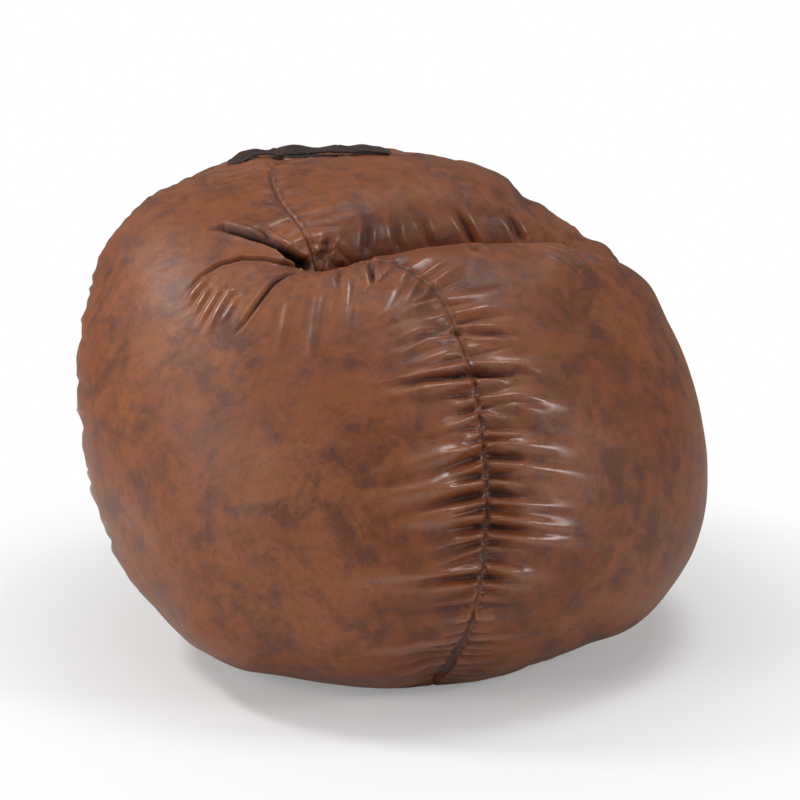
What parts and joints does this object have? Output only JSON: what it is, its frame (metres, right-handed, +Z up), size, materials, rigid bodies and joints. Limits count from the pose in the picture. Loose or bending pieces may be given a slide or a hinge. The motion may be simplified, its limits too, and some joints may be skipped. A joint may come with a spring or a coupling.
{
  "type": "bean bag chair",
  "caption": "Round floor seat of loose beads in a zipped inner bag and a sewn leather-look cover, pushed in behind the seat, with a slack carry strap on top.",
  "frame": {"origin": "on the floor under the middle of the bag's box", "axes": "+X to the sitter's left as they face out of the front, so to the right in a front view; -Y towards the front of the seat; +Z up"},
  "size_m": [0.9352, 0.91, 0.7198],
  "materials": {
    "cover_leather": "semi-gloss mottled brown leather look",
    "strap_leather": "dark brown semi-gloss leather look",
    "zip_tape": "woven tape",
    "zip_teeth": "moulded plastic",
    "zip_metal": "plated steel",
    "liner_cloth": "plain non-woven cloth",
    "beads": "expanded foam beads"
  },
  "bodies": {
    "bag": {"base_panel_front": "cover_leather", "base_panel_rear": "cover_leather", "bead_fill": "beads", "cover_panel_back_left": "cover_leather", "cover_panel_back_right": "cover_leather", "cover_panel_front_left": "cover_leather", "cover_panel_front_right": "cover_leather", "cover_top_cap": "cover_leather", "handle_end_left": "strap_leather", "handle_end_right": "strap_leather", "liner_front": "liner_cloth", "liner_rear": "liner_cloth", "liner_zip_coil_front": "zip_teeth", "liner_zip_coil_rear": "zip_teeth", "liner_zip_tape_front": "zip_tape", "liner_zip_tape_rear": "zip_tape", "zipper_stop_closed": "zip_metal", "zipper_stop_open": "zip_metal", "zipper_tape_front": "zip_tape", "zipper_tape_rear": "zip_tape", "zipper_teeth_front": "zip_teeth", "zipper_teeth_rear": "zip_teeth"},
    "handle": {"carry_handle": "strap_leather"},
    "zip_slider": {"zipper_slider": "zip_metal"},
    "inner_zip_slider": {"liner_zip_slider": "zip_metal"}
  },
  "joints": [
    {"name": "handle_lift", "type": "slide", "parent": "bag", "child": "handle", "axis": [0, 0, 1], "range_m": [0, 0.025], "deforming": ["handle_end_left", "handle_end_right"]},
    {"name": "cover_zip_slide", "type": "slide", "parent": "bag", "child": "zip_slider", "axis": [-1, 0, 0], "range_m": [0, 0.235], "deforming": ["zipper_teeth_front", "zipper_teeth_rear"]},
    {"name": "liner_zip_slide", "type": "slide", "parent": "bag", "child": "inner_zip_slider", "axis": [-1, 0, 0], "range_m": [0, 0.185], "deforming": ["liner_zip_coil_front", "liner_zip_coil_rear"]}
  ]
}
